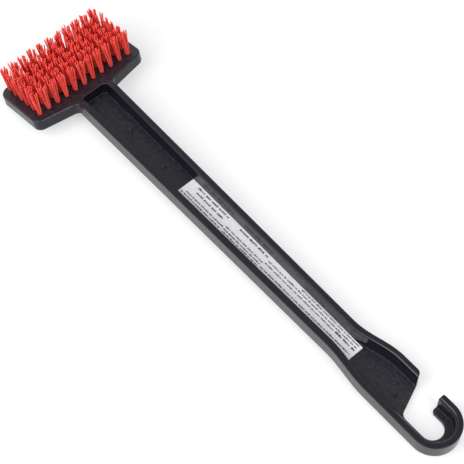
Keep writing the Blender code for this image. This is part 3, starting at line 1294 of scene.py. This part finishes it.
@dataclass(frozen=True)
class TuftField:
    """The grid of tufts, each a bundle of filaments folded over its anchor."""

    head: BrushHead
    finish: RedNylon
    rows_per_half: int = 3
    filaments: int = 12
    filament_radius: float = 0.00048
    filament_sides: int = 7
    length: float = 0.0209
    ragged_length: float = 0.0016
    foot_depth: float = 0.0022
    foot_radius: float = 0.00196
    fan: float = 0.068
    fold_turn: float = 0.5
    fold_split: float = 0.030
    split_range: tuple[float, float] = (0.3, 1.2)
    tuft_lean: float = 0.012
    stray: float = 0.016
    ragged_power: float = 1.6
    tip_round: float = 0.00012
    tip_share: float = 0.80
    bend_power: float = 1.15
    station_shares: tuple[float, ...] = (0.0, 0.30, 0.60, 0.85)
    tuft_shades: tuple[float, float] = (0.15, 0.45)
    shade_spread: float = 0.5
    seed: int = 11

    def build(self, place: RestingPlace) -> list[bpy.types.Object]:
        """Builds and dresses all the tufts.

        Args:
            place: where the brush rests.

        Returns:
            One object for each half of each column.
        """
        chance = random.Random(self.seed)
        material = self.finish.material()
        pieces = []
        for column in range(self.head.columns):
            for number, half in enumerate(ColumnHalf):
                first = number * self.rows_per_half
                solid = Solid(f"nylon_tufts_{column + 1:02d}_{half.value}", (FILAMENT_SHADE,))
                for row in range(first, first + self.rows_per_half):
                    self.add_tuft(solid, self.head.tuft_centre(column, row), chance)
                piece = solid.to_object()
                place.settle(piece)
                dress(piece, material)
                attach(piece, BODY)
                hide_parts(f"bristle_tufts_{column + 1:02d}_{half.value}")
                pieces.append(piece)
        return pieces

    def add_tuft(self, solid: Solid, centre: Vector, chance: random.Random) -> None:
        """Adds one tuft, whose two folded halves lean apart.

        Args:
            solid: the solid that holds the column's tufts.
            centre: where the tuft leaves the head.
            chance: the source of small differences.
        """
        fold = chance.gauss(math.pi / 2, self.fold_turn)
        split = self.fold_split * chance.uniform(*self.split_range)
        lean = Vector((chance.gauss(0, self.tuft_lean), chance.gauss(0, self.tuft_lean), 0))
        twist = chance.uniform(0, 2 * math.pi)
        tuft_shade = chance.uniform(*self.tuft_shades)
        across = Vector((math.cos(fold), math.sin(fold), 0))
        packed = self.foot_radius - self.filament_radius
        for number in range(self.filaments):
            # Golden turns at growing distances spread the filaments evenly over the hole
            share = math.sqrt((number + 0.5) / self.filaments)
            angle = twist + number * math.pi * (3 - math.sqrt(5))
            outward = Vector((math.cos(angle), math.sin(angle), 0)) * share
            side = 1 if outward.dot(across) > 0 else -1
            slope = outward * self.fan + across * side * split + lean
            slope += Vector((chance.gauss(0, self.stray), chance.gauss(0, self.stray), 0))
            length = self.length - self.ragged_length * chance.random() ** self.ragged_power
            shade = min(1, tuft_shade + chance.uniform(0, self.shade_spread))
            self.add_filament(solid, centre + outward * packed, slope, length, shade)

    def add_filament(
        self, solid: Solid, foot: Vector, slope: Vector, length: float, shade: float
    ) -> None:
        """Adds one filament with a cut end.

        Args:
            solid: the solid that it belongs to.
            foot: where it leaves the head.
            slope: how far it leans sideways for each metre of height.
            length: its height above the head.
            shade: how bright it is, from 0 to 1.
        """
        heights = [-self.foot_depth] + [length * share for share in self.station_shares]
        heights += [length - self.tip_round, length]
        widths = [1.0] * (len(heights) - 1) + [self.tip_share]
        rings = []
        for height, width in zip(heights, widths):
            bent = length * max(height / length, 0) ** self.bend_power
            middle = foot + slope * bent + Vector((0, 0, height))
            ring = []
            for side in range(self.filament_sides):
                angle = 2 * math.pi * side / self.filament_sides
                outward = Vector((math.cos(angle), math.sin(angle), 0))
                offset = outward * self.filament_radius * width
                point = solid.mesh.verts.new(self.head.frame @ (middle + offset))
                point[solid.layers[0]] = shade
                ring.append(point)
            rings.append(ring)
        solid.skin(rings)


class PrintBlock(NamedTuple):
    """A row of printed ticks on the label, placed by shares of its length and width."""

    start: float
    end: float
    row: float
    weight: RuleWeight


@dataclass(frozen=True)
class ChannelLabel:
    """The pale label on the channel's floor, printed with rows of plain ticks."""

    handle: ChannelHandle
    film: LabelFilm
    ink: GreyInk
    start: float = 0.0927
    length: float = 0.1782
    thickness: float = 0.0003
    side_gap: float = 0.00005
    side_shift: float = 0.00025
    seat_gap: float = 0.0003
    corner: float = 0.0006
    ink_height: float = 0.00003
    heading_height: float = 0.00165
    body_height: float = 0.00115
    stroke_share: float = 0.44
    stroke_range: tuple[float, float] = (0.8, 1.3)
    tall_shares: tuple[float, ...] = (0.72, 0.80, 1.0)
    step_share: float = 0.60
    step_range: tuple[float, float] = (0.8, 1.2)
    first_run: tuple[int, int] = (3, 9)
    later_runs: tuple[int, int] = (3, 11)
    run_gap: float = 1.2
    blocks: tuple[PrintBlock, ...] = (
        PrintBlock(0.047, 0.228, 0.135, RuleWeight.HEADING),
        PrintBlock(0.059, 0.213, 0.335, RuleWeight.HEADING),
        PrintBlock(0.302, 0.469, 0.140, RuleWeight.HEADING),
        PrintBlock(0.025, 0.245, 0.580, RuleWeight.BODY),
        PrintBlock(0.006, 0.243, 0.720, RuleWeight.BODY),
        PrintBlock(0.255, 0.472, 0.473, RuleWeight.BODY),
        PrintBlock(0.255, 0.470, 0.613, RuleWeight.BODY),
        PrintBlock(0.260, 0.470, 0.740, RuleWeight.BODY),
        PrintBlock(0.663, 0.984, 0.080, RuleWeight.BODY),
        PrintBlock(0.484, 0.984, 0.233, RuleWeight.BODY),
        PrintBlock(0.480, 0.870, 0.400, RuleWeight.BODY),
        PrintBlock(0.880, 0.984, 0.400, RuleWeight.HEADING),
        PrintBlock(0.480, 0.984, 0.680, RuleWeight.BODY),
    )
    seed: int = 5

    @property
    def top(self) -> float:
        """Height of the film's face."""
        return -self.handle.channel_depth + self.seat_gap + self.thickness

    @property
    def middle(self) -> float:
        """How far the label's middle lies to +Y."""
        return self.handle.straight_middle + self.side_shift

    def half_width(self, x: float) -> float:
        """Half the label's width.

        Args:
            x: the place along the handle.

        Returns:
            The distance from the middle to the edge.
        """
        handle = self.handle
        channel_edge = handle.rim_width + handle.channel_depth * handle.lean + handle.floor_fillet
        return handle.tapered_half_width(x) - channel_edge - self.side_gap

    def build(self, place: RestingPlace) -> list[bpy.types.Object]:
        """Builds and dresses the label and its print.

        Args:
            place: where the brush rests.

        Returns:
            The film and the print.
        """
        end = self.start + self.length
        corners = [(self.start, -1), (end, -1), (end, 1), (self.start, 1)]
        plan = Plan.rounded([
            Corner(x, self.middle + side * self.half_width(x), self.corner)
            for x, side in corners
        ])
        levels = [Level(self.top - self.thickness, 0), Level(self.top, 0)]
        film = Solid("label_film_strip").loft(plan, levels, HANDLE_FRAME).to_object()
        dress(film, self.film.material())
        film.data.shade_flat()
        printed = self.printed_rules()
        dress(printed, self.ink.material())
        for piece in (film, printed):
            place.settle(piece)
            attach(piece, BODY)
        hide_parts("channel_label")
        return [film, printed]

    def printed_rules(self) -> bpy.types.Object:
        """Prints rows of plain upright ticks, in runs of uneven length.

        Returns:
            The print as one object.
        """
        chance = random.Random(self.seed)
        solid = Solid("label_printed_rules")
        for block in self.blocks:
            heading = block.weight is RuleWeight.HEADING
            height = self.heading_height if heading else self.body_height
            x = self.start + self.length * block.start
            stop = self.start + self.length * block.end
            left = chance.randint(*self.first_run)
            while x < stop:
                stroke = height * self.stroke_share * chance.uniform(*self.stroke_range)
                tall = height * chance.choice(self.tall_shares)
                self.add_tick(solid, x, block.row, stroke, tall)
                left -= 1
                x += height * self.step_share * chance.uniform(*self.step_range)
                if left == 0:
                    left = chance.randint(*self.later_runs)
                    x += height * self.step_share * self.run_gap
        rules = solid.to_object()
        rules.data.shade_flat()
        return rules

    def add_tick(self, solid: Solid, x: float, row: float, width: float, height: float) -> None:
        """Adds one upright tick of ink.

        Args:
            solid: the solid that holds the print.
            x: where the tick starts along the handle.
            row: its row, as a share of the label's width from the +Y side.
            width: its width along the handle.
            height: its height across the handle.
        """
        foot = self.middle + self.half_width(x) * (1 - 2 * row) - self.body_height / 2
        plan = Plan.rectangle(x, x + width, foot, foot + height)
        levels = [Level(self.top - self.ink_height, 0), Level(self.top + self.ink_height, 0)]
        solid.loft(plan, levels, HANDLE_FRAME)


@dataclass(frozen=True)
class SoftBox:
    """One large studio light that faces the brush."""

    name: str
    place: tuple[float, float, float]
    width: float
    height: float
    power: float

    def build(self) -> None:
        """Adds the light."""
        lamp = bpy.data.lights.new(self.name, "AREA")
        lamp.shape = "RECTANGLE"
        lamp.size = self.width
        lamp.size_y = self.height
        lamp.energy = self.power
        item = add_to_scene(self.name, lamp)
        item.location = self.place
        item.rotation_euler = (-Vector(self.place)).to_track_quat("-Z", "Y").to_euler()


@dataclass(frozen=True)
class Studio:
    """Pale floor, soft lights, white surround and the camera."""

    floor: PaleSweep
    floor_half: float = 3.0
    surround_level: float = 0.60
    ceiling_start: float = 0.30
    ceiling_level: float = 0.60
    lights: tuple[SoftBox, ...] = (
        SoftBox("window_light", (-0.20, -1.20, 1.30), 1.4, 1.4, 22.0),
        SoftBox("strip_light", (1.25, 0.0, 1.3), 0.45, 1.5, 12.0),
    )
    target: tuple[float, float, float] = (-0.00795, 0.00380, 0.0)
    distance: float = 1.12066
    turn: float = math.radians(50.3765)
    rise: float = math.radians(58.8133)
    roll: float = math.radians(-1.8338)
    lens: float = 122.187
    sensor: float = 36.0

    def build(self) -> None:
        """Builds the whole studio."""
        self.lay_floor()
        self.wrap_surround()
        for light in self.lights:
            light.build()
        self.set_camera()

    def lay_floor(self) -> None:
        """Lays the floor that the brush rests on."""
        half = self.floor_half
        sheet = Solid("studio_floor")
        corners = [(-half, -half, 0), (half, -half, 0), (half, half, 0), (-half, half, 0)]
        sheet.mesh.faces.new([sheet.mesh.verts.new(corner) for corner in corners])
        item = sheet.to_object()
        dress(item, self.floor.material())

    def wrap_surround(self) -> None:
        """Surrounds the brush with even light that looks plain white."""
        world = bpy.data.worlds.new("studio_surround")
        bpy.context.scene.world = world
        board = NodeBoard(world, "ShaderNodeOutputWorld")
        direct = board.seen_directly()
        strength = board.add("ShaderNodeMapRange", Value=direct, To_Min=self.surround_level)
        direction = board.add("ShaderNodeTexCoord").outputs["Generated"]
        height = board.add("ShaderNodeSeparateXYZ", Vector=direction).outputs["Z"]
        ceiling = board.add(
            "ShaderNodeMapRange",
            Value=height,
            From_Min=self.ceiling_start,
            To_Min=1.0,
            To_Max=self.ceiling_level,
        )
        level = board.calculate("MULTIPLY", strength.outputs["Result"], ceiling.outputs["Result"])
        surround = board.add("ShaderNodeBackground", Color=WHITE, Strength=level)
        board.finish(surround.outputs["Background"])

    def set_camera(self) -> None:
        """Sets the camera at the photograph's angle."""
        lens = bpy.data.cameras.new("studio_camera")
        lens.lens = self.lens
        lens.sensor_width = self.sensor
        back = Vector((
            math.sin(self.turn) * math.cos(self.rise),
            -math.cos(self.turn) * math.cos(self.rise),
            math.sin(self.rise),
        ))
        camera = add_to_scene("studio_camera", lens)
        level = (-back).to_track_quat("-Z", "Y").to_matrix().to_4x4()
        place = Matrix.Translation(Vector(self.target) + back * self.distance)
        camera.matrix_world = place @ level @ Matrix.Rotation(self.roll, 4, "Z")
        bpy.context.scene.camera = camera


def main() -> None:
    """Builds every piece in order and reports it."""
    logging.basicConfig(level=logging.INFO, format="%(message)s")
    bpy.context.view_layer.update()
    head = BrushHead()
    handle = ChannelHandle()
    label = ChannelLabel(handle, LabelFilm(), GreyInk())
    place = RestingPlace(handle, head, label.start, label.length, label.seat_gap, label.thickness)

    moulding = Moulding(head, handle, HangingHook(handle), BlackPolypropylene()).build(place)
    log.info("%s: %d faces", moulding.name, len(moulding.data.polygons))
    for piece in label.build(place):
        log.info("%s: %d faces", piece.name, len(piece.data.polygons))
    for piece in TuftField(head, RedNylon()).build(place):
        log.info("%s: %d faces", piece.name, len(piece.data.polygons))
    Studio(PaleSweep()).build()
    bpy.context.scene.view_settings.view_transform = "Standard"


if __name__ == "__main__":
    main()
